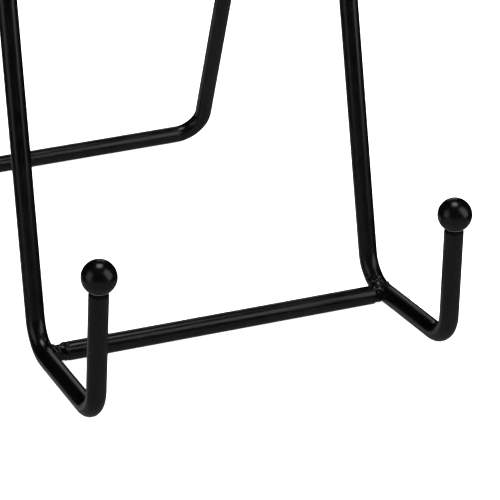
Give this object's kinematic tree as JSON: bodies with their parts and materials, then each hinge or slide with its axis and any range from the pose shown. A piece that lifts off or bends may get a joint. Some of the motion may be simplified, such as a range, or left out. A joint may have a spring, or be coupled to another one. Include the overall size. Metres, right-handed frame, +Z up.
{
  "type": "folding wire display easel",
  "caption": "Folding display easel of bent black wire: a leaning front frame whose ball-tipped prongs hold a plate or picture, propped by a hinged rear leg.",
  "frame": {"origin": "on the floor, below the middle of the open easel's overall box", "axes": "+Z up, +Y towards the rear leg, +X to the right as seen from in front"},
  "size_m": [0.1294, 0.2062, 0.254],
  "materials": {
    "wire_coat": "semi-gloss black stoved coat on bent steel wire",
    "ball_coat": "glossy black coat",
    "weld_coat": "glossy black coat over lumpy weld metal",
    "bracket_coat": "semi-gloss black coat on folded sheet steel",
    "rivet_coat": "black-coated steel rivet, slightly worn"
  },
  "bodies": {
    "front": {"front_frame": "wire_coat", "lower_crossbar": "wire_coat", "ball_tip_left": "ball_coat", "ball_tip_right": "ball_coat", "weld_crossbar_left": "weld_coat", "weld_crossbar_right": "weld_coat", "weld_bracket_left": "weld_coat", "weld_bracket_right": "weld_coat", "hinge_bracket_left": "bracket_coat", "hinge_bracket_right": "bracket_coat", "hinge_rivet_left": "rivet_coat", "hinge_rivet_right": "rivet_coat"},
    "leg": {"rear_leg": "wire_coat"}
  },
  "joints": [
    {"name": "leg_fold", "type": "hinge", "parent": "front", "child": "leg", "pos_m": [0, 0.00396, 0.22014], "axis": [-1, 0, 0], "range_deg": [0, 33]}
  ]
}
